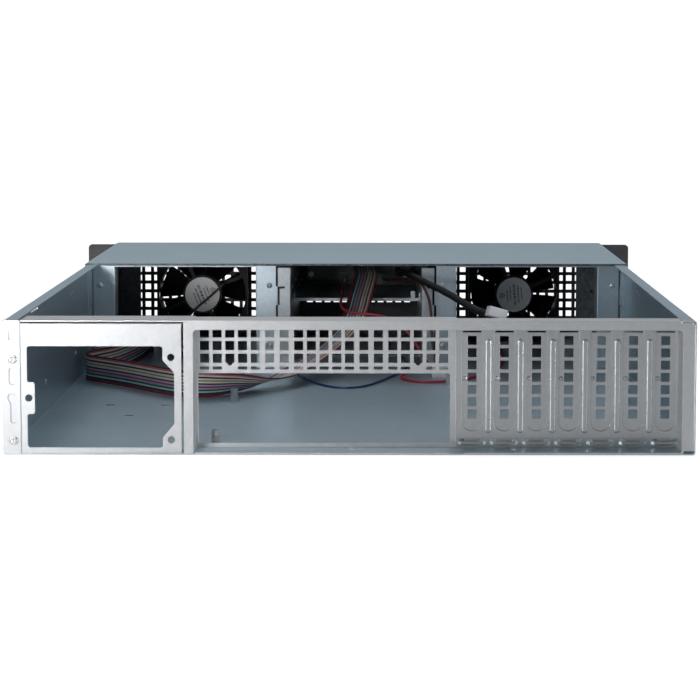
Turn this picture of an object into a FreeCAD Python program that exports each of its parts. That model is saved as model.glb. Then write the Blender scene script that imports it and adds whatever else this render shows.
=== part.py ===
import FreeCAD, Part
import math
import os

# Empty 2U rackmount server case, rear lid off. Millimetres.
# X runs across the case, Y from the rear face to the front, Z up from the table.
# Inside this script Y = 0 is the rear face; save() moves the origin to the middle
# of the footprint, on the underside.

V = FreeCAD.Vector

# ---------------------------------------------------------------- driving sizes
body_width = 430.0          # outside of the side walls
body_height = 84.2          # underside to the top flanges
body_depth = 516.0          # rear face to the back of the front panel
sheet = 1.0                 # tray, frame, cover and cage sheet
bend_r = 1.0                # inside bend radius
flange_w = 9.2              # inward flange along each side wall
fit = 0.3                   # clearance between pieces that only lie beside each other

strip_w = 11.0              # rear strip of the left side wall
recess = 20.0               # rear wall behind the rear face
window_left = -97.1         # window of the rear frame
window_right = 206.3
window_top = 78.3
window_r = 3.0
band_left_w = 5.8           # frame band between power supply plate and window
rail_depth_psu = 22.0       # top rail over the power supply plate
rail_depth_io = 17.0        # top rail over the mesh
rail_depth_slots = 12.5     # top rail over the slots

io_width = 158.75           # motherboard I/O aperture
io_height = 44.45
io_left = -95.8
io_bottom = 3.6

mesh_hole = 5.8             # rear mesh above the I/O aperture
mesh_pitch = 8.0
mesh_rows = 3
mesh_row1_z = 73.6
mesh_slot_h = 1.9
mesh_slot_z = 51.4
mesh_group = 5              # columns in each of the three even groups
mesh_link_pitch = 9.1       # wider pitch between the groups
keyhole_r = 1.75

slot_count = 7
slot_pitch = 20.32
slot_first_x = 76.9
slot_w = 13.0
slot_bottom_z = 11.3
slot_top_z = 77.0
ledge_z = 79.2              # top of the ledge that carries the slot covers' tabs
bead_w = 3.6                # pressed beads between the slots
bead_z0, bead_z1 = 10.3, 69.9
bead_out_y = 1.0
strap_w = 16.4
strap_h = 1.9
strap_z = 3.9

cover_blank_w = 18.4        # slot covers
cover_blank_t = 0.8
cover_hole = 5.7
cover_hole_pitch = 7.8
cover_hole_rows = 7
cover_hole_top_z = 68.9
cover_tab = 11.4
cover_slit_w, cover_slit_h, cover_slit_z = 11.6, 1.1, 74.5     # relief under the bend

psu_left = -200.0           # opening of the power supply plate
psu_right = -108.8
psu_step_x = -116.0
psu_bottom = 4.4
psu_top = 67.9
psu_hole_r = 2.25

board_row1 = 10.16          # first row of standoffs from the rear wall
board_rows = (0.0, 154.94, 227.33)
board_cols = (0.0, 157.48, 281.94)
board_col1_x = -85.8
standoff_h = 9.0
standoff_af = 5.0
standoff_bore_r = 1.25

cover_start = 333.0         # rear edge of the fixed front cover
cover_skirt = 14.0
bulkhead_y = 336.0          # rear faces of the bay frames and the cage
bay_outer = 209.6
bay_inner = 64.1
bay_plate_outer_w = 17.2
bay_plate_inner_w = 16.0
bay_top = 83.2
bay_return = 16.0
cage_half = 62.4
cage_flange = 9.8
cage_top = 81.5
jog_low = 51.6              # joggle between bay frames and cage
jog_high = 66.5
jog = 1.4
shelf_z = 47.0
shelf_start = 400.0
shelf_lip = 2.6

panel_t = 3.0               # front panel with the rack ears
rack_width = 482.6
ear_bottom = 0.8
ear_top = 83.4
ear_corner_r = 3.0
ear_slot_x = 232.55
ear_slot_spacing = 44.45
ear_slot_w = 6.8
ear_slot_l = 10.3
grille_hole = 5.2
grille_pitch = 7.93
grille_cols = 15
grille_rows = 8
grille_centre_x = 140.9
centre_grille_cols = 12
centre_grille_z = (34.0, 41.93)

fan_size = 80.0
fan_depth = 25.0
fan_x = 137.5
fan_z = 41.55
fan_duct_r = 38.2
fan_hole_pitch = 71.5
fan_hub_r = 17.0
fan_blades = 7
fan_blade_r = 37.0
fan_label_r = 15.2
fan_shaft_r = 1.5
rotor_turned = (12.0, 30.0)  # how far each rotor stands turned, right then left

psu_screw_head = 1.7        # the power supply plate's screws stand proud of the rear face
depth_total = body_depth + panel_t
origin_y = (depth_total - psu_screw_head) / 2
half_w = body_width / 2
flange_x = half_w - flange_w
wall_x = half_w - sheet     # inner face of the side walls


# ---------------------------------------------------------------- small helpers
def box(x0, x1, y0, y1, z0, z1):
    return Part.makeBox(x1 - x0, y1 - y0, z1 - z0, V(x0, y0, z0))


def rod(x, y, z, r, length, axis):
    return Part.makeCylinder(r, length, V(x, y, z), axis)


def hexagon(x, y, z, across_flats, length, axis):
    corner_r = across_flats / math.sqrt(3)
    points = []
    for k in range(7):
        a = math.radians(60 * k + 30)
        points.append(V(corner_r * math.cos(a), corner_r * math.sin(a), 0))
    prism = Part.Face(Part.makePolygon(points)).extrude(V(0, 0, length))
    prism.Placement = FreeCAD.Placement(V(x, y, z), FreeCAD.Rotation(V(0, 0, 1), axis))
    return prism


def rounded(points, radii):
    """Closed flat wire through points, with a tangent arc of its own radius at each."""
    edges = []
    count = len(points)
    ends = []
    for i in range(count):
        p, a, b = points[i], points[i - 1], points[(i + 1) % count]
        r = radii[i] if isinstance(radii, (list, tuple)) else radii
        u, w = (a - p).normalize(), (b - p).normalize()
        if r < 1e-6:
            ends.append((p, p, None))
            continue
        half = math.acos(max(-1, min(1, u.dot(w)))) / 2
        cut = r / math.tan(half)
        mid = (u + w).normalize()
        centre = p + mid * (r / math.sin(half))
        ends.append((p + u * cut, p + w * cut, centre - mid * r))
    for i in range(count):
        start, stop, middle = ends[i]
        if middle is not None:
            edges.append(Part.Arc(start, middle, stop).toShape())
        following = ends[(i + 1) % count][0]
        if stop.distanceToPoint(following) > 1e-6:
            edges.append(Part.LineSegment(stop, following).toShape())
    return Part.Wire(edges)


def rect_xz(x0, x1, z0, z1, y, r=0.0):
    return rounded([V(x0, y, z0), V(x1, y, z0), V(x1, y, z1), V(x0, y, z1)], r)


def circle_xz(x, z, y, r):
    return Part.Wire(Part.makeCircle(r, V(x, y, z), V(0, 1, 0)))


def plate_y(outer, holes, thickness):
    """Sheet standing across the case: outer and hole wires lie at one Y."""
    face = Part.Face(outer)
    if holes:
        face = face.cut(Part.makeCompound([Part.Face(h) for h in holes]))
    return face.extrude(V(0, thickness, 0))


def folded(points, thickness, inside_r, direction):
    """Folded sheet: points run along one face, the sheet lies on their left."""
    base = []
    offset = []
    count = len(points)
    for i in range(count):
        p = points[i]
        before = (p - points[i - 1]).normalize() if i else None
        after = (points[i + 1] - p).normalize() if i < count - 1 else None
        d = direction.normalize()
        if before is None or after is None:
            run = after if before is None else before
            left = d.cross(run)
            base.append((p, 0))
            offset.append((p + left * thickness, 0))
            continue
        left_a = d.cross(before)
        left_b = d.cross(after)
        middle = (left_a + left_b).normalize()
        reach = thickness / middle.dot(left_a)
        turn = before.cross(after).dot(d)
        base.append((p, inside_r if turn < 0 else inside_r + thickness))
        offset.append((p + middle * reach, inside_r + thickness if turn < 0 else inside_r))
    loop = base + offset[::-1]
    return rounded([q[0] for q in loop], [q[1] for q in loop])


def cut_all(shape, tools):
    return shape.cut(Part.makeCompound(tools)) if tools else shape


def mirror_x(shape):
    return shape.mirror(V(0, 0, 0), V(1, 0, 0))


saved = []


def save(name, shape):
    moved = shape.copy()
    moved.translate(V(0, -origin_y, 0))
    moved.exportStep("parts/" + name + ".step")
    saved.append(name)
    print(name, "solids", len(moved.Solids), "valid", moved.isValid(),
          "volume", round(moved.Volume, 1))


os.makedirs("parts", exist_ok=True)


# ---------------------------------------------------------------- chassis tray
hook_y0, hook_y1 = 91.0, 116.0      # slots in the side walls for the lid's hooks
hook_z0, hook_z1 = 76.6, 79.4
notch_y0, notch_y1 = 99.0, 107.0    # notch in the outer edge of each top flange
bead_y, bead_z = 258.0, 70.0        # pressed locating bead of each side wall
bead_l, bead_h, bead_out = 14.0, 4.6, 0.6
lip_h = 1.6                          # upturned rear edge of the floor
lip_gap_x0, lip_gap_x1 = 62.5, 71.0


psu_screw_x = -208.6                 # screws that hold the power supply plate
psu_screw_z = (9.2, 60.0)
lance_places = ((-172.5, 166.8), (-154.0, 126.2), (-133.4, 166.5))
lance_l, lance_r = 6.0, 1.1         # pressed floor lances that locate a power supply


def chassis_tray():
    section = folded(
        [V(flange_x, 0, body_height), V(half_w, 0, body_height), V(half_w, 0, 0),
         V(-half_w, 0, 0), V(-half_w, 0, body_height), V(-flange_x, 0, body_height)],
        sheet, bend_r, V(0, 1, 0))
    tray = Part.Face(section).extrude(V(0, body_depth, 0))
    strip = box(-half_w, -half_w + strip_w, 0, sheet, sheet / 2, body_height)
    strip_edge = [e for e in strip.Edges
                  if abs(e.CenterOfMass.x + half_w) < 1e-6 and abs(e.CenterOfMass.y) < 1e-6]
    strip = strip.makeFillet(sheet * 0.9, strip_edge)
    lips = [box(window_left + sheet, lip_gap_x0, 0, sheet, 0, lip_h),
            box(lip_gap_x1, window_right, 0, sheet, 0, lip_h)]
    tray = tray.fuse([strip] + lips)
    beads = []
    for side in (-1, 1):
        face_x = side * wall_x
        bead = rounded([V(face_x, bead_y - bead_l / 2, bead_z - bead_h / 2),
                        V(face_x, bead_y + bead_l / 2, bead_z - bead_h / 2),
                        V(face_x, bead_y + bead_l / 2, bead_z + bead_h / 2),
                        V(face_x, bead_y - bead_l / 2, bead_z + bead_h / 2)], bead_h * 0.49)
        beads.append(Part.Face(bead).extrude(V(-side * bead_out, 0, 0)))
    lances = [rod(x - lance_l / 2, y, sheet - 0.5, lance_r, lance_l, V(1, 0, 0))
              .common(box(x - lance_l, x + lance_l, y - 3, y + 3, sheet / 2, 5))
              for x, y in lance_places]
    tray = tray.fuse(beads + lances)
    cuts = []
    for side in (-1, 1):
        cuts.append(box(side * half_w - 2, side * half_w + 2, hook_y0, hook_y1, hook_z0, hook_z1))
        cuts.append(box(side * half_w - 1.6, side * half_w + 1.6, notch_y0, notch_y1,
                        body_height - 2.4, body_height + 1))
    # slots of the rear strip, top to bottom: half-round, long slot, keyhole
    x_in = -half_w + 4.0
    x_out = -half_w + strip_w - 2.6
    cuts.append(Part.Face(rounded([V(x_in, -1, 71.9), V(x_out, -1, 71.9), V(x_out, -1, 77.5),
                                   V(x_in, -1, 77.5)], [0.5, 2.1, 2.1, 0.5])).extrude(V(0, 2.5, 0)))
    cuts.append(Part.Face(rect_xz(x_in, x_out, 43.8, 54.6, -1, 2.0)).extrude(V(0, 2.5, 0)))
    cuts.append(Part.Face(rect_xz(x_in + 0.8, x_out, 19.9, 37.0, -1, 1.7)).extrude(V(0, 2.5, 0)))
    cuts.append(rod((x_in + x_out) / 2, -1, 35.6, 3.2, 2.5, V(0, 1, 0)))
    cuts += [rod(psu_screw_x, -1, z, 1.6, 2.5, V(0, 1, 0)) for z in psu_screw_z]
    cuts += [rod(-half_w - 1, cover_start + dy, cover_screw_z, 1.6, body_width + 2, V(1, 0, 0))
             for dy in cover_screw_y]
    cuts.append(rod(-half_w - 1, bracket_nut_y, bracket_nut_z, 2.1, body_width + 2, V(1, 0, 0)))
    return cut_all(tray, cuts)


# ---------------------------------------------------------------- rear frame
frame_left = window_left - band_left_w
frame_right = wall_x


def rear_frame():
    outline = [V(frame_left, 0, sheet), V(window_left, 0, sheet), V(window_left, 0, window_top),
               V(window_right, 0, window_top), V(window_right, 0, sheet + lip_h),
               V(frame_right, 0, sheet + lip_h), V(frame_right, 0, body_height),
               V(frame_left, 0, body_height)]
    radii = [0, 0, window_r, window_r, 0, 0, 0, 0]
    band = Part.Face(rounded(outline, radii)).extrude(V(0, sheet, 0))
    left_return = box(window_left - sheet, window_left, 0, recess, sheet, window_top)
    right_return = box(window_right, window_right + sheet, 0, recess, sheet, window_top)
    hood = box(window_left - sheet, window_right + sheet, 0, 4, window_top, window_top + sheet)
    rail_left = -half_w + strip_w + 0.5
    rail_end = flange_x - fit
    z0 = body_height - sheet
    rails = [box(rail_left, window_left, 0, rail_depth_psu, z0, body_height),
             box(window_left - 0.1, slot_first_x - slot_pitch / 2, 0, rail_depth_io, z0, body_height),
             box(slot_first_x - slot_pitch / 2 - 0.1, rail_end, 0, rail_depth_slots, z0, body_height)]
    tab_y0, tab_y1 = 4.0, 15.0
    tab = box(-wall_x, rail_left + 1, tab_y0, tab_y1, z0 - sheet, z0)
    tab = tab.fuse(box(-wall_x, -wall_x + sheet, tab_y0, tab_y1, 66, z0)).removeSplitter()
    tab = tab.makeFillet(bend_r, [e for e in tab.Edges if abs(e.CenterOfMass.x + wall_x) < 1e-6
                                  and abs(e.CenterOfMass.z - z0) < 1e-6])
    frame = band.fuse([left_return, right_return, hood, tab] + rails)
    flange_room = box(flange_x - fit, half_w + 1, -1, recess, z0 - fit, body_height + 1)
    bend_room = box(wall_x - bend_r, half_w, -1, recess, z0 - fit - bend_r, z0)
    frame = frame.cut(flange_room).cut(bend_room)
    return frame.removeSplitter()


# ---------------------------------------------------------------- rear wall
wall_left = window_left - sheet
wall_right = window_right + sheet
wall_split = slot_first_x - slot_pitch / 2      # mesh side | slot side


def mesh_columns():
    centre = io_left + io_width / 2
    offsets = []
    half_group = (mesh_group - 1) / 2
    for k in range(mesh_group):
        offsets.append((k - half_group) * mesh_pitch)
    inner = half_group * mesh_pitch
    for side in (-1, 1):
        for k in (1, 2):
            offsets.append(side * (inner + k * mesh_link_pitch))
        start = inner + 3 * mesh_link_pitch
        for k in range(mesh_group):
            offsets.append(side * (start + k * mesh_pitch))
    return sorted(centre + o for o in offsets)


def slot_x(index):
    return slot_first_x + index * slot_pitch


def rear_wall():
    """Both plates of the rear wall, before they are parted."""
    y = recess
    holes = []
    columns = mesh_columns()
    keyed = (2, len(columns) - 3)
    h = mesh_hole / 2
    for i, x in enumerate(columns):
        for row in range(mesh_rows):
            z = mesh_row1_z - row * mesh_pitch
            holes.append(rect_xz(x - h, x + h, z - h, z + h, y, 0.35))
        if i not in keyed:
            holes.append(rect_xz(x - h, x + h, mesh_slot_z - mesh_slot_h / 2,
                                 mesh_slot_z + mesh_slot_h / 2, y, 0.3))
    holes.append(rect_xz(io_left, io_left + io_width, io_bottom, io_bottom + io_height, y, 1.0))
    for i in range(slot_count):
        x = slot_x(i)
        r = slot_w / 2
        holes.append(rounded([V(x - r, y, slot_bottom_z), V(x + r, y, slot_bottom_z),
                              V(x + r, y, slot_top_z), V(x - r, y, slot_top_z)],
                             [r * 0.999, r * 0.999, 0.5, 0.5]))
        holes.append(rect_xz(x - strap_w / 2, x + strap_w / 2, 2.2, 6.4, y, 0.6))
    outer = rounded([V(wall_left, y, sheet), V(wall_right, y, sheet), V(wall_right, y, ledge_z),
                     V(wall_split, y, ledge_z), V(wall_split, y, body_height - sheet - fit),
                     V(wall_left, y, body_height - sheet - fit)], 0)
    wall = plate_y(outer, holes, sheet)
    low_row_z = mesh_row1_z - (mesh_rows - 1) * mesh_pitch
    wall = wall.cut([rod(columns[k], y - 1, low_row_z - h + 0.1, keyhole_r, 3, V(0, 1, 0))
                     for k in keyed])
    ledge = box(wall_split, window_right - 0.1, rail_depth_slots - 4, y + sheet / 2, ledge_z - sheet, ledge_z)
    bores = [rod(slot_x(i), y - cover_tab / 2 + 0.6, ledge_z - 3, 1.5, 6, V(0, 0, 1))
             for i in range(slot_count)]
    ledge = ledge.cut(bores)
    stiffener = box(wall_left, wall_split, y, y + 8, body_height - 2 * sheet - fit,
                    body_height - sheet - fit)
    foot = box(wall_left, wall_right, y, y + 6, sheet, 2 * sheet)
    extras = [ledge, stiffener, foot]
    for i in range(slot_count - 1):
        x = slot_x(i) + slot_pitch / 2
        bead = Part.Face(rect_xz(x - bead_w / 2, x + bead_w / 2, bead_z0, bead_z1, y + 0.2,
                                 bead_w * 0.49)).extrude(V(0, -bead_out_y - 0.2, 0))
        crown = [e for e in bead.Edges if abs(e.CenterOfMass.y - (y - bead_out_y)) < 1e-6]
        extras.append(bead.makeFillet(bead_out_y * 0.8, crown))
    for i in range(slot_count):
        x = slot_x(i)
        arch = Part.Face(rounded(
            [V(x - strap_w / 2 - 0.6, y, strap_z), V(x - strap_w / 2 + 1.2, y - 1.0, strap_z),
             V(x + strap_w / 2 - 1.2, y - 1.0, strap_z), V(x + strap_w / 2 + 0.6, y, strap_z),
             V(x + strap_w / 2 + 0.6, y + 0.6, strap_z), V(x + strap_w / 2 - 0.8, y - 0.3, strap_z),
             V(x - strap_w / 2 + 0.8, y - 0.3, strap_z), V(x - strap_w / 2 - 0.6, y + 0.6, strap_z)],
            0)).extrude(V(0, 0, strap_h))
        arch.translate(V(0, 0, -strap_h / 2))
        extras.append(arch.common(box(window_left, window_right - 0.1, y - 5, y + 5, 0, 10)))
    wall = wall.fuse(extras)
    tail_ways = [box(slot_x(i) - 6, slot_x(i) + 6, y + sheet - 0.05, y + sheet + cover_blank_t + 0.4,
                     sheet - 0.01, 2 * sheet + 0.01) for i in range(slot_count)]
    return cut_all(wall, tail_ways).removeSplitter()


def wall_part(wall, x0, x1):
    return wall.common(box(x0, x1, 0, 60, 0, body_height)).removeSplitter()


# ---------------------------------------------------------------- slot covers
def slot_cover(index):
    x = slot_x(index)
    y = recess + sheet
    w = cover_blank_w / 2
    top = ledge_z + cover_blank_t
    outline = rounded([V(x - 4.6, y, 2.4), V(x + 4.6, y, 2.4), V(x + 5.1, y, 9.0), V(x + w, y, 12.0),
                       V(x + w, y, top), V(x - w, y, top), V(x - w, y, 12.0), V(x - 5.1, y, 9.0)],
                      [1.0, 1.0, 0, 0, 0, 0, 0, 0])
    holes = []
    h = cover_hole / 2
    for row in range(cover_hole_rows):
        z = cover_hole_top_z - row * cover_hole_pitch
        holes.append(rect_xz(x - h, x + h, z - h, z + h, y, 0.4))
    holes.append(rect_xz(x - cover_slit_w / 2, x + cover_slit_w / 2, cover_slit_z - cover_slit_h / 2,
                         cover_slit_z + cover_slit_h / 2, y, 0.2))
    blank = plate_y(outline, holes, cover_blank_t)
    tab_y0 = y - cover_tab
    tab = Part.Face(rounded([V(x - w, y + cover_blank_t, ledge_z), V(x - w, tab_y0, ledge_z),
                             V(x + w, tab_y0, ledge_z), V(x + w, y + cover_blank_t, ledge_z)],
                            [0, 1.5, 1.5, 0])).extrude(V(0, 0, cover_blank_t))
    tab = tab.cut(rod(x, recess - cover_tab / 2 + 0.6, ledge_z - 1, 2.2, 4, V(0, 0, 1)))
    dimple = Part.makeSphere(1.5, V(x - slot_w / 2 + 1.7, y + 0.7, 44.8))
    dimple = dimple.common(box(x - 20, x + 20, y - 2, y + 0.2, 40, 50))
    return blank.fuse([tab, dimple]).removeSplitter()


def pan_screw(x, y, z, axis, head_r, head_h, shank_r, shank_l):
    """Screw seated at (x, y, z); its head stands out along axis, its shank runs back."""
    head = Part.makeCylinder(head_r, head_h, V(x, y, z), axis)
    crown = [e for e in head.Edges if abs((e.CenterOfMass - V(x, y, z)).dot(axis) - head_h) < 1e-6]
    head = head.makeFillet(head_h * 0.45, crown)
    back = V(x, y, z) - axis * shank_l
    shank = Part.makeCylinder(shank_r, shank_l, back, axis)
    top = V(x, y, z) + axis * (head_h * 0.45)
    side = V(0, 0, 1) if abs(axis.z) < 0.5 else V(1, 0, 0)
    other = axis.cross(side)
    arm, half = head_r * 0.62, head_r * 0.15
    tools = []
    for a, b in ((side, other), (other, side)):
        corner = top - a * arm - b * half
        wire = Part.makePolygon([corner, corner + a * (2 * arm), corner + a * (2 * arm) + b * (2 * half),
                                 corner + b * (2 * half), corner])
        tools.append(Part.Face(wire).extrude(axis * head_h))
    return head.fuse(shank).cut(Part.makeCompound(tools)).removeSplitter()


def slot_cover_screws():
    y = recess - cover_tab / 2 + 0.6
    z = ledge_z + cover_blank_t
    return Part.makeCompound([pan_screw(slot_x(i), y, z, V(0, 0, 1), 2.8, 1.8, 1.45, 2.2)
                              for i in range(slot_count)])


# ---------------------------------------------------------------- power supply plate
psu_holes = ((-199.0, 35.4), (-110.8, 61.0), (-110.8, 9.3))


def psu_plate():
    y = sheet
    left = -wall_x + bend_r
    right = frame_left - 1.3
    top = body_height - sheet - 1.1
    outer = rect_xz(left, right, sheet, top, y)
    opening = rounded(
        [V(psu_left, y, psu_bottom), V(psu_step_x, y, psu_bottom), V(psu_step_x, y, 10.9),
         V(psu_right, y, 19.3), V(psu_right, y, 51.3), V(psu_step_x, y, 59.3),
         V(psu_step_x, y, psu_top), V(psu_left, y, psu_top), V(psu_left, y, 45.4),
         V(-195.3, y, 45.4), V(-195.3, y, 25.4), V(psu_left, y, 25.4)],
        [1.8, 1.8, 1.5, 1.5, 1.5, 1.5, 1.8, 1.8, 1.5, 1.5, 1.5, 1.5])
    holes = [opening] + [circle_xz(hx, hz, y, psu_hole_r) for hx, hz in psu_holes]
    holes += [circle_xz(psu_screw_x, hz, y, 1.45) for hz in psu_screw_z]
    plate = plate_y(outer, holes, sheet)
    shelf = box(-half_w + strip_w + 4, right, y, rail_depth_psu - 2, top - sheet, top)
    foot = box(-half_w + strip_w + 4, right, y, y + 12, sheet, 2 * sheet)
    return plate.fuse([shelf, foot]).removeSplitter()


def psu_plate_screws():
    return Part.makeCompound([pan_screw(psu_screw_x, 0, z, V(0, -1, 0), 2.9, psu_screw_head, 1.4, 5.0)
                              for z in psu_screw_z])



# ---------------------------------------------------------------- bay frames
rivet_x = (bay_outer - 5.0, bay_inner + 5.0)
rivet_z = (19.0, 67.3)
rivet_r = 2.3


def bay_frame():
    """Right-hand bay frame; the left one is its mirror image."""
    y = bulkhead_y
    inner_edge = bay_inner
    outer = rounded([V(bay_outer, y, sheet), V(bay_outer, y, bay_top), V(inner_edge, y, bay_top),
                     V(inner_edge, y, jog_high), V(inner_edge - jog, y, jog_high),
                     V(inner_edge - jog, y, jog_low), V(inner_edge, y, jog_low),
                     V(inner_edge, y, sheet)], 0)
    open_x0 = inner_edge + bay_plate_inner_w
    open_x1 = bay_outer - bay_plate_outer_w
    opening = rect_xz(open_x0, open_x1, 0, bay_top - sheet, y)
    holes = [opening] + [circle_xz(x, z, y, 1.6) for x in rivet_x for z in rivet_z]
    face = plate_y(outer, holes, sheet)
    returns = [box(open_x0 - sheet, open_x0, y, y + bay_return, sheet, bay_top),
               box(open_x1, open_x1 + sheet, y, y + bay_return, sheet, bay_top),
               box(inner_edge, bay_outer, y, y + bay_return, bay_top - sheet, bay_top)]
    feet = [box(inner_edge, open_x0, y, y + 10, sheet, 2 * sheet),
            box(open_x1, bay_outer, y, y + 10, sheet, 2 * sheet)]
    frame = face.fuse(returns + feet).removeSplitter()
    edges = [e for e in frame.Edges
             if abs(e.CenterOfMass.y - y) < 1e-6 and e.Length > 60
             and (abs(e.CenterOfMass.x - open_x0) < 1e-6 or abs(e.CenterOfMass.x - open_x1) < 1e-6)]
    return frame.makeFillet(sheet * 0.9, edges)


def bay_rivets():
    """Domed blind rivets through the bay frames' rear faces."""
    rivets = []
    for x in rivet_x:
        for z in rivet_z:
            head = Part.makeSphere(3.2, V(x, bulkhead_y + 2.3, z))
            head = head.common(rod(x, bulkhead_y - 2, z, rivet_r, 2, V(0, 1, 0)))
            shank = rod(x, bulkhead_y, z, 1.5, 2.2, V(0, 1, 0))
            rivet = head.fuse(shank).cut(rod(x, bulkhead_y - 2, z, 0.7, 1.8, V(0, 1, 0)))
            rivets += [rivet, mirror_x(rivet)]
    return Part.makeCompound(rivets)


def side_bracket():
    """Right-hand upright beside the bay frame, fixed to the side wall."""
    y0 = bulkhead_y - 4
    x0 = bay_outer + 1.1
    foot_z = sheet + bend_r
    web = box(wall_x - sheet, wall_x, y0, y0 + 20, foot_z, bay_top - sheet)
    faces = [box(x0, wall_x, y0, y0 + sheet, jog_high - 1, bay_top - sheet),
             box(x0, wall_x, y0, y0 + sheet, foot_z, jog_low),
             box(x0, wall_x, y0 + 5, y0 + 5 + sheet, jog_low - 0.1, jog_high)]
    return web.fuse(faces).removeSplitter()


# ---------------------------------------------------------------- drive cage
cage_inner = cage_half - cage_flange
cage_end = body_depth - sheet
drive_slot_y = (30.0, 90.0, 130.0)
drive_slot_z = (14.0, 62.0)


def drive_cage():
    y = bulkhead_y
    sides = []
    for side in (-1, 1):
        x0, x1 = sorted((side * cage_inner, side * (cage_inner + sheet)))
        sides.append(box(x0, x1, y, cage_end, sheet, cage_top))
        corner = [V(side * cage_inner, y, sheet), V(side * cage_half, y, sheet),
                  V(side * cage_half, y, jog_low), V(side * (cage_half - jog), y, jog_low),
                  V(side * (cage_half - jog), y, jog_high), V(side * cage_half, y, jog_high),
                  V(side * cage_half, y, cage_top), V(side * cage_inner, y, cage_top)]
        face = Part.Face(rounded(corner, 0)).extrude(V(0, sheet, 0))
        x0, x1 = sorted((side * (cage_half - jog - 4), side * (cage_half + 1)))
        face = face.cut(box(x0, x1, y - 1, y + 2, jog_high - 1.6, jog_high))
        sides.append(face)
        x0, x1 = sorted((side * cage_inner, side * (cage_inner + 10)))
        sides.append(box(x0, x1, y + 12, cage_end - 20, sheet, 2 * sheet))
        x0, x1 = sorted((side * cage_inner, side * (cage_half - 1)))
        sides.append(box(x0, x1, cage_end - sheet, cage_end, sheet, cage_top))
    floor = box(-cage_inner - sheet, cage_inner + sheet, y + 60, cage_end, sheet, 2 * sheet)
    cage = sides[0].fuse(sides[1:] + [floor])
    cuts = []
    for dy in drive_slot_y:
        for z in drive_slot_z:
            slot = rounded([V(-half_w, y + dy, z - 1.8), V(-half_w, y + dy + 9, z - 1.8),
                            V(-half_w, y + dy + 9, z + 1.8), V(-half_w, y + dy, z + 1.8)], 1.79)
            cuts.append(Part.Face(slot).extrude(V(body_width, 0, 0)))
    for z in (24.0, 42.0, 58.0, 74.0):
        cuts.append(box(-cage_inner - sheet - 0.5, -cage_inner + 0.5, y + 4, y + 9, z, z + 5))
        cuts.append(box(cage_inner - 0.5, cage_inner + sheet + 0.5, y + 4, y + 9, z, z + 5))
    return cut_all(cage, cuts).removeSplitter()


def drive_shelf():
    x = cage_inner
    base = box(-x, x, shelf_start, cage_end - sheet, shelf_z, shelf_z + sheet)
    lip = box(-x, x, shelf_start, shelf_start + sheet, shelf_z, shelf_z + shelf_lip)
    sides = [box(-x, -x + sheet, shelf_start, cage_end - sheet, shelf_z, shelf_z + 7),
             box(x - sheet, x, shelf_start, cage_end - sheet, shelf_z, shelf_z + 7)]
    tab = box(44.8, 48.4, shelf_start, shelf_start + sheet, shelf_z + sheet, shelf_z + 8.4)
    return base.fuse([lip, tab] + sides).removeSplitter()


# ---------------------------------------------------------------- fixed front cover
cover_top = body_height + sheet
cover_screw_y = (30.0, 90.0, 150.0)
cover_screw_z = body_height - 7.0


def front_cover():
    section = folded(
        [V(half_w, 0, cover_top - cover_skirt), V(half_w, 0, body_height),
         V(-half_w, 0, body_height), V(-half_w, 0, cover_top - cover_skirt)],
        sheet, 0.4, V(0, 1, 0))
    cover = Part.Face(section).extrude(V(0, body_depth - cover_start, 0))
    cover.translate(V(0, cover_start, 0))
    hem_x = flange_x - 1
    hem = box(-hem_x, hem_x, cover_start + 1, cover_start + 9, body_height - sheet * 0.8, body_height)
    hem = hem.makeFillet(sheet * 0.39, [e for e in hem.Edges
                                        if abs(e.CenterOfMass.y - cover_start - 1) < 1e-6
                                        and abs(e.CenterOfMass.z - body_height) > 0.1
                                        and abs(e.CenterOfMass.x) < 1])
    hem.translate(V(0, -1, 0))
    ways = [rod(-half_w - 5, cover_start + dy, cover_screw_z, 1.6, body_width + 10, V(1, 0, 0))
            for dy in cover_screw_y]
    return cut_all(cover.fuse(hem), ways).removeSplitter()


def cover_screws():
    screws = []
    for dy in cover_screw_y:
        y = cover_start + dy
        screw = pan_screw(half_w + sheet, y, cover_screw_z, V(1, 0, 0), 2.9, 1.4, 1.4, 4.5)
        screws += [screw, mirror_x(screw)]
    return Part.makeCompound(screws)


# ---------------------------------------------------------------- front panel
panel_y = body_depth
grille_z0 = fan_z - (grille_rows - 1) / 2 * grille_pitch
button_z = 66.0
power_x = -34.0
reset_x = -18.0
led_x = (-6.0, 4.0)
port_x = 27.0
power_r = 4.0
reset_r = 2.3
led_r = 1.5
button_gap = 0.25
port_w, port_h = 13.4, 5.6
port_z = (61.5, 70.5)
panel_screw_z = (12.0, 42.0, 72.0)
panel_screw_x = wall_x - 6.0
fan_screw_r = 1.6
csk_r = 3.4


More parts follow.
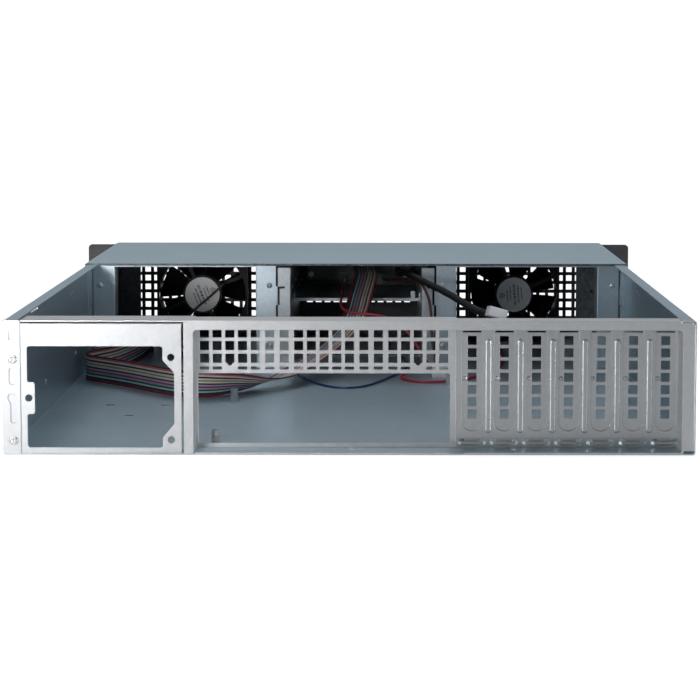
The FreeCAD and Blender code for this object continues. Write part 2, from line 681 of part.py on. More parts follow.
def panel_holes():
    holes = []
    h = grille_hole / 2
    y = panel_y
    for side in (-1, 1):
        for i in range(grille_cols):
            x = side * (grille_centre_x + (i - (grille_cols - 1) / 2) * grille_pitch)
            for j in range(grille_rows):
                z = grille_z0 + j * grille_pitch
                holes.append(rect_xz(x - h, x + h, z - h, z + h, y))
    for i in range(centre_grille_cols):
        x = (i - (centre_grille_cols - 1) / 2) * grille_pitch
        for z in centre_grille_z:
            holes.append(rect_xz(x - h, x + h, z - h, z + h, y))
    holes.append(circle_xz(power_x, button_z, y, power_r + button_gap))
    holes.append(circle_xz(reset_x, button_z, y, reset_r + button_gap))
    holes += [circle_xz(x, button_z, y, led_r + 0.05) for x in led_x]
    holes += [rect_xz(port_x - port_w / 2, port_x + port_w / 2, z - port_h / 2, z + port_h / 2, y, 0.4)
              for z in port_z]
    for side in (-1, 1):
        for dz in (-0.5, 0.5):
            z = (ear_bottom + ear_top) / 2 + dz * ear_slot_spacing
            x = side * ear_slot_x
            holes.append(rect_xz(x - ear_slot_l / 2, x + ear_slot_l / 2, z - ear_slot_w / 2,
                                 z + ear_slot_w / 2, y, ear_slot_w / 2 * 0.9999))
    return holes


def csk(x, z):
    """Countersunk way for a flat head that sits flush with the panel's front."""
    cone = Part.makeCone(fan_screw_r, csk_r, csk_r - fan_screw_r,
                         V(x, panel_y + panel_t - (csk_r - fan_screw_r), z), V(0, 1, 0))
    return cone.fuse(rod(x, panel_y - 1, z, fan_screw_r, panel_t + 1, V(0, 1, 0)))


def fan_screw_places():
    half = fan_hole_pitch / 2
    return [(side * fan_x + sx * half, fan_z + sz * half)
            for side in (-1, 1) for sx in (-1, 1) for sz in (-1, 1)]


def panel_screw_places():
    return [(side * panel_screw_x, z) for side in (-1, 1) for z in panel_screw_z]


def front_panel():
    half = rack_width / 2
    outer = rect_xz(-half, half, ear_bottom, ear_top, panel_y, ear_corner_r)
    panel = plate_y(outer, panel_holes(), panel_t)
    return cut_all(panel, [csk(x, z) for x, z in fan_screw_places() + panel_screw_places()])


def flat_screw(x, z, length):
    depth = csk_r - fan_screw_r
    front = panel_y + panel_t
    head = Part.makeCone(fan_screw_r - 0.1, csk_r - 0.1, depth, V(x, front - depth, z), V(0, 1, 0))
    shank = rod(x, front - length, z, fan_screw_r - 0.1, length - depth / 2, V(0, 1, 0))
    cross = [box(x - 1.7, x + 1.7, front - 1.0, front + 1, z - 0.4, z + 0.4),
             box(x - 0.4, x + 0.4, front - 1.0, front + 1, z - 1.7, z + 1.7)]
    return head.fuse(shank).cut(Part.makeCompound(cross)).removeSplitter()


bracket_nut_y = body_depth - 46.0
bracket_nut_z = 37.0
bracket_t = 1.5
bracket_y0 = body_depth - 64.0
bracket_in_x = wall_x - 19.2        # inner edge of the bracket's front flange


def ear_bracket():
    """Right-hand angle that ties the front panel to the side wall."""
    z0, z1 = 4.0, 80.0
    web = box(wall_x - bracket_t, wall_x, bracket_y0, body_depth, z0, z1)
    flange = box(bracket_in_x, wall_x, body_depth - bracket_t, body_depth, z0, z1)
    angle = web.fuse(flange).removeSplitter()
    ways = [rod(x, body_depth - 3, z, fan_screw_r, 6, V(0, 1, 0))
            for x, z in panel_screw_places() if x > 0]
    ways.append(rod(wall_x - 4, bracket_nut_y, bracket_nut_z, 2.1, 8, V(1, 0, 0)))
    ways += [rod(wall_x - 4, cover_start + dy, cover_screw_z, 1.6, 8, V(1, 0, 0))
             for dy in cover_screw_y]
    return cut_all(angle, ways)


def bracket_nuts():
    """Screws through both side walls, with their nuts on the brackets inside."""
    nuts = []
    for side in (-1, 1):
        axis = V(-side, 0, 0)
        x = side * (wall_x - bracket_t)
        nut = hexagon(x, bracket_nut_y, bracket_nut_z, 7.0, 3.0, axis)
        end = rod(side * (half_w + 1.2), bracket_nut_y, bracket_nut_z, 1.9, 7.5, axis)
        head = rod(side * half_w, bracket_nut_y, bracket_nut_z, 3.4, 1.4, -axis)
        nuts.append(nut.fuse([end, head]).removeSplitter())
    return Part.makeCompound(nuts)


# ---------------------------------------------------------------- fans
fan_front = panel_y
fan_rear = fan_front - fan_depth
strut_t = 3.0
hub_stack = 4.0             # fixed hub on the struts' side
rotor_rear = fan_rear + hub_stack + 0.8
rotor_front = fan_front - 1.5


strut_angle = -25.0          # first strut, turning clockwise seen from the rear
lead_d = 2.2
lead_lift = 2.1              # the lead's axis behind the frame's rear face


def strut_point(cx, index, radius):
    a = math.radians(90 * index + strut_angle)
    return V(cx + radius * math.cos(a), fan_rear - lead_lift, fan_z - radius * math.sin(a))


def lead_boss(start, toward):
    """Small grommet on a strut, open where the lead leaves it."""
    back = (start - toward).normalize()
    barrel = Part.makeCylinder(lead_d / 2 + 0.7, 4.0, start, back)
    foot = Part.makeCylinder(1.3, lead_lift + 1, start + back * 2.0, V(0, 1, 0))
    return barrel.fuse(foot)


def fan_frame(cx, boss):
    y0 = fan_rear
    half = fan_size / 2
    outer = rect_xz(cx - half, cx + half, fan_z - half, fan_z + half, y0, 5.0)
    duct = circle_xz(cx, fan_z, y0, fan_duct_r)
    holes = [duct]
    for sx in (-1, 1):
        for sz in (-1, 1):
            holes.append(circle_xz(cx + sx * fan_hole_pitch / 2, fan_z + sz * fan_hole_pitch / 2,
                                   y0, 2.15))
    body = plate_y(outer, holes, fan_depth)
    waist = []
    for side in range(4):
        block = box(-27, 27, 4.0, fan_depth - 4.0, half - 2.1, half + 3)
        block.rotate(V(0, 0, 0), V(0, 1, 0), 90 * side)
        block.translate(V(cx, y0, fan_z))
        waist.append(block)
    body = body.cut(Part.makeCompound(waist))
    hub = rod(cx, y0, fan_z, fan_hub_r, hub_stack, V(0, 1, 0))
    struts = []
    for k in range(4):
        strut = box(fan_hub_r - 1, fan_duct_r + 0.6, 0, strut_t, -1.6, 1.6)
        strut.rotate(V(0, 0, 0), V(0, 1, 0), 90 * k + strut_angle)
        strut.translate(V(cx, y0, fan_z))
        struts.append(strut)
    body = body.fuse([hub, boss] + struts)
    bore = rod(cx, y0 + 1, fan_z, fan_shaft_r + 0.05, hub_stack, V(0, 1, 0))
    seat = rod(cx, y0 - 1, fan_z, fan_label_r + 0.1, 1.2, V(0, 1, 0))
    return body.cut(Part.makeCompound([bore, seat])).removeSplitter()


def fan_rotor(cx, turned):
    hub_len = rotor_front - rotor_rear
    hub = rod(0, rotor_rear, 0, fan_hub_r - 0.5, hub_len, V(0, 1, 0))
    hub = hub.makeFillet(1.5, [e for e in hub.Edges if abs(e.CenterOfMass.y - rotor_front) < 1e-6])
    shaft = rod(0, fan_rear + 1.3, 0, fan_shaft_r, hub_stack + 1.5, V(0, 1, 0))
    blades = []
    for k in range(fan_blades):
        sections = []
        for radius, pitch_deg, chord in ((fan_hub_r - 1.5, 42.0, 16.5), (27.0, 34.0, 26.0),
                                         (fan_blade_r, 27.0, 32.0)):
            a = math.radians(pitch_deg)
            along = V(math.cos(a), math.sin(a), 0)
            normal = V(-math.sin(a), math.cos(a), 0)
            mid_y = (rotor_rear + rotor_front) / 2
            centre = V(0, mid_y, radius)
            bow = normal * (chord * 0.09)
            lead, trail = centre - along * (chord / 2), centre + along * (chord / 2)
            t = normal * 0.6
            top = Part.Arc(lead + t, centre + bow + t, trail + t).toShape()
            low = Part.Arc(trail - t, centre + bow - t, lead - t).toShape()
            sections.append(Part.Wire([top, Part.LineSegment(trail + t, trail - t).toShape(), low,
                                       Part.LineSegment(lead - t, lead + t).toShape()]))
        blade = Part.makeLoft(sections, True, False)
        blade = blade.common(rod(0, rotor_rear + 0.3, 0, fan_blade_r, hub_len - 0.6, V(0, 1, 0)))
        blade.rotate(V(0, 0, 0), V(0, 1, 0), 360.0 / fan_blades * k + turned)
        blades.append(blade)
    rotor = hub.fuse([shaft] + blades).removeSplitter()
    rotor.translate(V(cx, 0, fan_z))
    return rotor


def fan_label(cx):
    return rod(cx, fan_rear, fan_z, fan_label_r, 0.2, V(0, 1, 0))


# ---------------------------------------------------------------- floor pieces
def standoff_places():
    y0 = recess + board_row1
    return [(board_col1_x + c, y0 + r) for r in board_rows for c in board_cols]


def board_standoffs():
    posts = []
    for x, y in standoff_places():
        post = hexagon(x, y, sheet, standoff_af, standoff_h, V(0, 0, 1))
        posts.append(post.cut(rod(x, y, sheet + 1.5, standoff_bore_r, standoff_h, V(0, 0, 1))))
    return Part.makeCompound(posts)


floor_rivet_places = ((0.5, 13.0), (103.5, 13.0))


def floor_rivets():
    rivets = []
    for x, y in floor_rivet_places:
        head = Part.makeSphere(2.6, V(x, y, sheet - 1.4))
        rivets.append(head.common(rod(x, y, sheet, 2.2, 3, V(0, 0, 1))))
    for side in (-1, 1):
        for y in (142.0, 271.0):
            head = Part.makeSphere(2.6, V(side * (wall_x + 1.4), y, 22.0))
            rivets.append(head.common(rod(side * wall_x, y, 22.0, 2.2, 3, V(-side, 0, 0))))
    return Part.makeCompound(rivets)


# ---------------------------------------------------------------- front controls
board_y = panel_y - 11.0
board_t = 1.6
board_x = 46.0
board_z0, board_z1 = 53.0, 80.0
press_travel = 1.2          # the switches' plungers are drawn pressed in
switch_h = 3.9
header_x = 6.0
header_w, header_out = 27.0, 8.5
header_z0, header_z1 = 62.0, 71.0
header_wall = 1.2
sockets = ((35.0, 63.0), (-14.0, 56.0), (22.0, 56.0))     # black cable, red lead, brown lead
socket_h = 6.0
spacer_places = ((-42.0, 58.0), (42.0, 75.0), (-42.0, 75.0), (42.0, 58.0))


def control_board():
    board = box(-board_x, board_x, board_y, board_y + board_t, board_z0, board_z1)
    board = board.cut(Part.makeCompound([rod(x, board_y - 1, z, 1.6, 4, V(0, 1, 0))
                                         for x, z in spacer_places]))
    front = board_y + board_t
    parts = []
    for x in (power_x, reset_x):
        parts.append(box(x - 3, x + 3, front, front + 3.4, button_z - 3, button_z + 3))
        parts.append(rod(x, front, button_z, 1.6, switch_h, V(0, 1, 0)))
    header = box(header_x - header_w / 2, header_x + header_w / 2, board_y - header_out, board_y,
                 header_z0, header_z1)
    inside_x = header_w / 2 - header_wall
    header = header.cut(box(header_x - inside_x, header_x + inside_x, board_y - header_out - 1,
                            board_y - header_wall, header_z0 + header_wall,
                            header_z1 - header_wall))
    parts.append(header)
    for x, z in sockets:
        parts.append(box(x - 3.5, x + 3.5, board_y - socket_h, board_y, z - 3.5, z + 3.5))
    return board.fuse(parts).removeSplitter()


def board_spacers():
    front = board_y + board_t
    return Part.makeCompound([rod(x, front, z, 2.6, panel_y - front, V(0, 1, 0)).fuse(
        rod(x, board_y - 1.6, z, 1.5, 3.4, V(0, 1, 0))).fuse(
        rod(x, board_y - 1.6, z, 2.5, 1.6, V(0, 1, 0))).removeSplitter()
        for x, z in spacer_places])


def button(x, r):
    """Cap through the panel with a collar that stops it behind the panel."""
    rear = board_y + board_t + switch_h + press_travel + 0.1
    stem = rod(x, rear, button_z, r, panel_y + panel_t - 0.4 - rear, V(0, 1, 0))
    collar = rod(x, panel_y - 1.6, button_z, r + 1.2, 1.4, V(0, 1, 0))
    return stem.fuse(collar).removeSplitter()


def led_lenses():
    front = board_y + board_t
    lenses = []
    for x in led_x:
        body = rod(x, front, button_z, led_r, panel_y + panel_t - 1.2 - front, V(0, 1, 0))
        dome = Part.makeSphere(led_r, V(x, panel_y + panel_t - 1.2, button_z))
        collar = rod(x, front, button_z, led_r + 0.4, 1.0, V(0, 1, 0))
        lenses.append(body.fuse([dome, collar]).common(
            box(x - 4, x + 4, front, panel_y + panel_t, 0, body_height)).removeSplitter())
    return Part.makeCompound(lenses)


def usb_ports():
    front = board_y + board_t
    shell = box(port_x - port_w / 2 + 0.2, port_x + port_w / 2 - 0.2, front, panel_y + panel_t - 0.2,
                port_z[0] - port_h / 2 + 0.2, port_z[1] + port_h / 2 - 0.2)
    gap = box(port_x - port_w, port_x + port_w, panel_y - 0.2, panel_y + panel_t + 1,
              port_z[0] + port_h / 2 - 0.2, port_z[1] - port_h / 2 + 0.2)
    shell = shell.cut(gap)
    mouths = []
    for z in port_z:
        mouths.append(box(port_x - 6.0, port_x + 6.0, panel_y - 5, panel_y + panel_t + 1, z - 2.2, z + 2.2)
                      .cut(box(port_x - 5.2, port_x + 5.2, panel_y - 5, panel_y + panel_t - 0.8,
                               z + 0.2, z + 1.9)))
    return shell.cut(Part.makeCompound(mouths)).removeSplitter()


# ---------------------------------------------------------------- cords
def route(points):
    """Straight runs joined by tangent arcs as large as the two runs allow."""
    places = [V(*p) for p in points]
    edges = []
    radii = []
    start = places[0]
    for i in range(1, len(places) - 1):
        p = places[i]
        back, ahead = places[i - 1] - p, places[i + 1] - p
        shorter = min(back.Length, ahead.Length)
        turn = math.pi - back.getAngle(ahead)
        r = 0.45 * shorter / math.tan(turn / 2)
        radii.append(r)
        cut = 0.45 * shorter
        a, b = p + back.normalize() * cut, p + ahead.normalize() * cut
        bisector = ((a + b) * 0.5 - p).normalize()
        middle = p + bisector * (r / math.cos(turn / 2) - r)
        edges.append(Part.LineSegment(start, a).toShape())
        edges.append(Part.Arc(a, middle, b).toShape())
        start = b
    edges.append(Part.LineSegment(start, places[-1]).toShape())
    return Part.Wire(edges), radii


def report_route(name, wire, radii, section, volume):
    print(name, "length", round(wire.Length, 1), "radii", [round(r, 1) for r in radii],
          "volume ratio", round(volume / (wire.Length * section), 3))


def round_cord(name, points, diameter):
    wire, radii = route(points)
    first = wire.Edges[0]
    tangent = (V(*points[1]) - V(*points[0])).normalize()
    section = Part.Wire(Part.makeCircle(diameter / 2, V(*points[0]), tangent))
    tube = wire.makePipeShell([section], True, True)
    report_route(name, wire, radii, math.pi * diameter ** 2 / 4, tube.Volume)
    return tube


def flat_cord(name, points, width, thickness, lean_from, lean_to):
    """Ribbon on its edge that leans over between two lengths until it lies flat."""
    wire, radii = route(points)
    stations = []
    run = 0.0
    for edge in wire.Edges:
        steps = 2 if edge.Curve.TypeId == "Part::GeomLine" else 3
        for k in range(steps):
            stations.append((edge, k / steps, run))
        run += edge.Length
    stations.append((wire.Edges[-1], 1.0, run - wire.Edges[-1].Length))
    sections = []
    for edge, share, before in stations:
        at = edge.FirstParameter + share * (edge.LastParameter - edge.FirstParameter)
        p, tangent = edge.valueAt(at), edge.tangentAt(at)
        along = before + share * edge.Length
        t = min(1.0, max(0.0, (along - lean_from) / (lean_to - lean_from)))
        lean = math.radians(90 * t * t * (3 - 2 * t))
        side = tangent.cross(V(0, 0, 1)).normalize()
        upright = side.cross(tangent).normalize()
        w = (upright * math.cos(lean) + side * math.sin(lean)) * (width / 2)
        h = tangent.cross(w).normalize() * (thickness / 2)
        sections.append(Part.makePolygon([p - h - w, p + h - w, p + h + w, p - h + w, p - h - w]))
    shape = Part.makeLoft(sections, True, True)
    report_route(name, wire, radii, width * thickness, shape.Volume)
    return shape


def block_along(rear_face, toward, length, width, height, roll=0.0):
    """Box whose rear face is centred on rear_face and whose length runs toward a point."""
    d = (toward - rear_face).normalize()
    block = box(0, length, -width / 2, width / 2, -height / 2, height / 2)
    level = math.degrees(math.atan2(d.y, d.x))
    pitch = math.degrees(math.asin(d.z))
    block.rotate(V(0, 0, 0), V(1, 0, 0), roll)
    block.rotate(V(0, 0, 0), V(0, 1, 0), -pitch)
    block.rotate(V(0, 0, 0), V(0, 0, 1), level)
    block.translate(rear_face)
    return block


# flat ribbon cable: stands on its edge across the floor and climbs into the cage
ribbon_w = 20.3
ribbon_t = 0.9
ribbon_z = sheet + fit + ribbon_w / 2
ribbon_top_z = (header_z0 + header_z1) / 2
ribbon_plug_y = board_y - header_out - 6.0
ribbon_lean = (245.0, 375.0)   # lengths between which the ribbon leans over
ribbon_route = (
    (-176.0, 418.0, ribbon_z), (-176.0, 390.0, ribbon_z), (-179.5, 362.0, ribbon_z),
    (-184.5, 336.0, ribbon_z), (-191.0, 314.0, ribbon_z), (-201.0, 298.0, ribbon_z),
    (-208.5, 285.0, ribbon_z), (-205.0, 271.0, ribbon_z), (-190.0, 258.5, ribbon_z),
    (-166.0, 237.0, ribbon_z), (-142.0, 211.0, ribbon_z), (-121.0, 194.0, ribbon_z),
    (-102.0, 195.0, 10.9), (-84.0, 210.5, 9.3), (-66.5, 230.0, 6.6),
    (-49.0, 252.5, 10.2), (-34.0, 277.0, 16.6), (-19.5, 301.0, 24.0), (-7.0, 327.0, 32.5),
    (0.0, 351.0, 43.5), (3.5, 377.0, 55.5), (6.5, 404.0, 63.0), (8.0, 432.0, 66.2),
    (header_x, 461.0, ribbon_top_z), (header_x, ribbon_plug_y, ribbon_top_z))
ribbon_plug_l = 26.0
ribbon_plug_t = 6.0


def ribbon_plug_floor():
    x, y, z = ribbon_route[0]
    return box(x - ribbon_plug_t / 2, x + ribbon_plug_t / 2, y, y + 9.6, sheet, sheet + ribbon_plug_l)


def ribbon_plug_board():
    half = header_w / 2 - header_wall - 0.2
    z0, z1 = header_z0 + header_wall + 0.2, header_z1 - header_wall - 0.2
    return box(header_x - half, header_x + half, ribbon_plug_y, board_y - header_wall - 0.2, z0, z1)


# round black cable: from the board out over the open tray, its plug behind the top rail
usb_d = 5.0
usb_x, usb_z = sockets[0]
usb_route = (
    (usb_x, board_y - socket_h, usb_z), (35.0, 470.0, usb_z), (35.8, 437.0, 66.2),
    (37.0, 402.0, 71.0), (39.5, 365.0, 74.8), (44.5, 326.0, 76.4), (51.5, 287.0, 76.8),
    (59.5, 247.0, 77.0), (67.0, 205.0, 77.4), (73.5, 162.0, 77.8), (79.2, 120.0, 78.3),
    (84.3, 82.0, 79.4), (88.6, 54.0, 81.4), (91.6, 32.0, 84.8))
usb_plug_l, usb_plug_w, usb_plug_t = 12.0, 11.5, 6.0


def usb_plug():
    start = V(*usb_route[-1])
    before = V(*usb_route[-2])
    plug = block_along(start, start + (start - before), usb_plug_l, usb_plug_w, usb_plug_t, -16.0)
    return plug


# blue wire: a loop that comes out of the cage along the floor and goes back
blue_d = 1.6
blue_z = sheet + blue_d / 2 + 0.1
blue_in_z = 2 * sheet + blue_d / 2 + 0.1
blue_route = (
    (-30.0, 444.0, blue_in_z + 0.5), (-32.0, 418.0, blue_in_z + 0.5), (-37.5, 392.0, blue_in_z),
    (-43.0, 366.0, blue_z + 0.3), (-49.0, 340.0, blue_z), (-49.5, 316.0, blue_z),
    (-43.5, 292.0, blue_z), (-34.0, 268.0, blue_z), (-24.0, 247.0, blue_z),
    (-9.5, 235.0, blue_z), (6.5, 241.0, blue_z), (18.0, 262.0, blue_z), (27.5, 287.0, blue_z),
    (36.5, 312.0, blue_z), (42.0, 339.0, blue_z), (41.0, 366.0, blue_z + 0.3),
    (36.0, 392.0, blue_in_z), (29.5, 418.0, blue_in_z + 0.5),
    (26.0, 444.0, blue_in_z + 0.5))


def blue_plugs():
    plugs = []
    for end, before in ((blue_route[0], blue_route[1]), (blue_route[-1], blue_route[-2])):
        start = V(*end)
        plug = block_along(start, start + (start - V(*before)), 12.0, 5.2, 2.6)
        plugs.append(plug)
    return Part.makeCompound(plugs)


# right fan's lead: off a strut, along the floor, round a loop into the white connector
lead_floor_z = sheet + lead_d / 2 + 0.1
plug_z = sheet + 1.8         # leads' height where they enter a plug that lies on the floor
right_boss = strut_point(fan_x, 2, 24.0)
joint_x, joint_y = 65.5, 290.0
joint_l, joint_w, joint_h = 12.0, 7.0, 10.4
joint_z = sheet + 5.2        # height of the leads where they enter the connector
right_lead_route = (
    (right_boss.x, right_boss.y, right_boss.z),
    (right_boss.x - 2.25, right_boss.y - 1.4, right_boss.z - 9.91), (113.0, 482.0, 11.5),
    (115.5, 470.0, lead_floor_z + 1.0), (119.0, 452.0, lead_floor_z), (121.5, 427.0, lead_floor_z),
    (122.0, 399.0, lead_floor_z), (120.5, 371.0, lead_floor_z), (116.5, 345.0, lead_floor_z),
    (109.5, 320.0, lead_floor_z), (100.0, 298.0, lead_floor_z), (89.0, 280.0, lead_floor_z),
    (76.0, 267.5, lead_floor_z), (61.0, 261.5, lead_floor_z), (47.5, 264.0, lead_floor_z),
    (38.5, 272.5, lead_floor_z), (35.0, 283.0, lead_floor_z), (39.0, 292.0, joint_z - 2.2),
    (47.5, 293.5, joint_z - 0.8), (53.5, joint_y, joint_z), (joint_x - joint_l / 2, joint_y, joint_z))


def lead_connector():
    return box(joint_x - joint_l / 2, joint_x + joint_l / 2, joint_y - joint_w / 2,
               joint_y + joint_w / 2, sheet, sheet + joint_h)


# two leads come out of the cage and down to the connector's front face
joint_front = joint_y + joint_w / 2
red_x, red_z = sockets[1]
red_lead_route = (
    (red_x, board_y - socket_h, red_z), (red_x, 476.0, red_z), (-13.5, 451.0, 58.0),
    (-12.5, 427.0, 55.4), (-12.0, 405.0, 54.0), (-12.5, 384.0, 52.4), (-13.0, 362.0, 49.8),
    (-11.0, 343.0, 47.4), (-3.5, 327.5, 46.4), (9.5, 321.5, 46.2), (24.0, 321.0, 44.4),
    (36.5, 319.5, 37.6), (45.5, 316.5, 27.0), (51.5, 312.0, 16.5), (57.0, 306.0, 9.2),
    (62.5, 300.5, joint_z), (62.5, joint_front, joint_z))
brown_x, brown_z = sockets[2]
brown_lead_route = (
    (brown_x, board_y - socket_h, brown_z), (brown_x, 475.0, brown_z), (25.0, 448.0, 59.8),
    (31.5, 421.0, 62.8), (39.0, 394.0, 66.0), (46.0, 367.0, 68.6), (50.2, 342.0, 69.8),
    (54.0, 324.5, 67.6), (58.0, 315.5, 59.0), (59.4, 313.4, 46.5), (59.6, 312.8, 34.0),
    (60.4, 312.0, 24.0), (63.0, 309.5, 13.5), (68.0, 303.0, joint_z), (68.0, joint_front, joint_z))

# left fan's lead: across the hub, down to the floor, its plug in the bay
left_boss = strut_point(-fan_x, 0, 20.0)
left_lead_route = (
    (left_boss.x, left_boss.y, left_boss.z),
    (left_boss.x - 12.63, left_boss.y, left_boss.z - 11.4),
    (-145.5, fan_rear - lead_lift - 0.4, 27.5), (-154.5, 487.0, 15.5), (-157.5, 480.0, 6.5),
    (-157.0, 468.0, lead_floor_z + 0.3), (-153.5, 453.0, lead_floor_z), (-148.0, 436.0, lead_floor_z),
    (-143.5, 417.0, plug_z), (-143.0, 399.0, plug_z))


left_plug_l, left_plug_w, left_plug_t = 11.0, 7.6, 3.4


def left_lead_plug():
    start = V(*left_lead_route[-1])
    return block_along(start, start + (start - V(*left_lead_route[-2])), left_plug_l, left_plug_w,
                       left_plug_t)


save("chassis_tray", chassis_tray())
save("rear_frame", rear_frame())
both_plates = rear_wall()
save("rear_wall", wall_part(both_plates, -half_w, wall_split - 0.1))
save("slot_wall", wall_part(both_plates, wall_split + 0.1, half_w))
save("psu_plate", psu_plate())
save("psu_plate_screws", psu_plate_screws())
for n in range(slot_count):
    save("slot_cover_%d" % (n + 1), slot_cover(n))
save("slot_cover_screws", slot_cover_screws())
right_bay = bay_frame()
save("bay_frame_right", right_bay)
save("bay_frame_left", mirror_x(right_bay))
save("bay_rivets", bay_rivets())
right_bracket = side_bracket()
save("side_bracket_right", right_bracket)
save("side_bracket_left", mirror_x(right_bracket))
right_ear_bracket = ear_bracket()
save("ear_bracket_right", right_ear_bracket)
save("ear_bracket_left", mirror_x(right_ear_bracket))
save("drive_cage", drive_cage())
save("drive_shelf", drive_shelf())
save("front_cover", front_cover())
save("cover_screws", cover_screws())
save("front_panel", front_panel())
save("panel_screws", Part.makeCompound([flat_screw(x, z, 6.0) for x, z in panel_screw_places()]))
save("fan_screws", Part.makeCompound([flat_screw(x, z, 12.0) for x, z in fan_screw_places()]))
save("bracket_nuts", bracket_nuts())
for side_name, cx in (("left", -fan_x), ("right", fan_x)):
    route_points = left_lead_route if cx < 0 else right_lead_route
    boss = lead_boss(V(*route_points[0]), V(*route_points[1]))
    save("fan_frame_" + side_name, fan_frame(cx, boss))
    save("fan_rotor_" + side_name, fan_rotor(cx, rotor_turned[cx < 0]))
    save("fan_label_" + side_name, fan_label(cx))
save("board_standoffs", board_standoffs())
save("floor_rivets", floor_rivets())
save("control_board", control_board())
save("board_spacers", board_spacers())
save("power_button", button(power_x, power_r))
save("reset_button", button(reset_x, reset_r))
save("led_lenses", led_lenses())
save("usb_ports", usb_ports())
save("ribbon_cable", flat_cord("ribbon_cable", ribbon_route, ribbon_w, ribbon_t, *ribbon_lean))
save("ribbon_plug_floor", ribbon_plug_floor())
save("ribbon_plug_board", ribbon_plug_board())
save("usb_cable", round_cord("usb_cable", usb_route, usb_d))
save("usb_plug", usb_plug())
save("blue_wire", round_cord("blue_wire", blue_route, blue_d))
save("blue_wire_plugs", blue_plugs())
save("fan_lead_right", round_cord("fan_lead_right", right_lead_route, lead_d))
save("lead_connector", lead_connector())
save("red_lead", round_cord("red_lead", red_lead_route, lead_d))
save("brown_lead", round_cord("brown_lead", brown_lead_route, lead_d))
save("fan_lead_left", round_cord("fan_lead_left", left_lead_route, lead_d))
save("fan_lead_left_plug", left_lead_plug())
print("pieces", len(saved))
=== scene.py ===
import math

import bpy
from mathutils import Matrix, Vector


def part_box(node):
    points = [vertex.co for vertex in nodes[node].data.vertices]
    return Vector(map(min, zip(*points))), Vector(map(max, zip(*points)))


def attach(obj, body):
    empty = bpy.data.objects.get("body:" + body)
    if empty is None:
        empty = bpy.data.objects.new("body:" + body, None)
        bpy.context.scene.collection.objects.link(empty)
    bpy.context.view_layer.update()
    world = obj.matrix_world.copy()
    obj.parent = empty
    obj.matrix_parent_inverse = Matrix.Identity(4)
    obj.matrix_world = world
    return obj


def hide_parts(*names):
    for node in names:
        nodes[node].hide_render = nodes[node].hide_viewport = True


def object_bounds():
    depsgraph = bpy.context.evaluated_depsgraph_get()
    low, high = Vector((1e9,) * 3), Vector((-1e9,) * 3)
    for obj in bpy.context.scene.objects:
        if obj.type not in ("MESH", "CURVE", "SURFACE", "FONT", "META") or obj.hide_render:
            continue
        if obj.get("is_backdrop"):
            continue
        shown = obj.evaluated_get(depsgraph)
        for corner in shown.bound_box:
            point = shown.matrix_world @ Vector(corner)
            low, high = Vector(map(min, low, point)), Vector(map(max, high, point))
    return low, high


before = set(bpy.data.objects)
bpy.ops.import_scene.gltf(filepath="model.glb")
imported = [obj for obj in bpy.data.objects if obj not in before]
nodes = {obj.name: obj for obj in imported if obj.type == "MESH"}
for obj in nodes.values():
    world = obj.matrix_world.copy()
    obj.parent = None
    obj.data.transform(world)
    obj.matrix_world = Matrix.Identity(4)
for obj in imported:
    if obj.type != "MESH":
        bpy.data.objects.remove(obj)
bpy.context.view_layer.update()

MM = 0.001
REAR = -0.25865            # the case's rear face on the row's Y axis


def place(x, y, z):
    """Metres in the row frame from millimetres measured from the rear face."""
    return Vector((x * MM, y * MM + REAR, z * MM))


# ------------------------------------------------------------------ materials
def start(name, color, metallic, roughness):
    made = bpy.data.materials.new(name)
    made.use_nodes = True
    tree = made.node_tree
    shader = tree.nodes["Principled BSDF"]
    shader.inputs["Base Color"].default_value = (*color, 1)
    shader.inputs["Metallic"].default_value = metallic
    shader.inputs["Roughness"].default_value = roughness
    made.diffuse_color = (*color, 1)
    return made, tree, shader


def add(tree, kind, **values):
    node = tree.nodes.new(kind)
    for key, value in values.items():
        if hasattr(node, key):
            setattr(node, key, value)
        else:
            node.inputs[key].default_value = value
    return node


def coordinates(tree, stretch=(1, 1, 1)):
    where = tree.nodes.new("ShaderNodeTexCoord")
    mapping = tree.nodes.new("ShaderNodeMapping")
    mapping.inputs["Scale"].default_value = stretch
    tree.links.new(where.outputs["Object"], mapping.inputs["Vector"])
    return mapping.outputs["Vector"]


def noise(tree, vector, scale, detail=3.0, rough=0.55):
    node = add(tree, "ShaderNodeTexNoise", Scale=scale, Detail=detail, Roughness=rough)
    tree.links.new(vector, node.inputs["Vector"])
    return node.outputs["Fac"]


def spread(tree, value, low, high, from_low=0.3, from_high=0.7):
    node = tree.nodes.new("ShaderNodeMapRange")
    node.inputs["From Min"].default_value = from_low
    node.inputs["From Max"].default_value = from_high
    node.inputs["To Min"].default_value = low
    node.inputs["To Max"].default_value = high
    tree.links.new(value, node.inputs["Value"])
    return node.outputs["Result"]


def tinted(tree, value, color_a, color_b):
    node = tree.nodes.new("ShaderNodeMix")
    node.data_type = "RGBA"
    node.inputs["A"].default_value = (*color_a, 1)
    node.inputs["B"].default_value = (*color_b, 1)
    tree.links.new(value, node.inputs["Factor"])
    return node


def shade(color, amount):
    return tuple(min(1.0, c * amount) for c in color)


def surface(tree, shader, grain, depth, strength, edge=0.0):
    """Bump from a grain, over edges that are softened by edge metres."""
    node = add(tree, "ShaderNodeBump", Strength=strength, Distance=depth)
    tree.links.new(grain, node.inputs["Height"])
    if edge:
        soft = tree.nodes.new("ShaderNodeBevel")
        soft.samples = 4
        soft.inputs["Radius"].default_value = edge
        tree.links.new(soft.outputs["Normal"], node.inputs["Normal"])
    tree.links.new(node.outputs["Normal"], shader.inputs["Normal"])


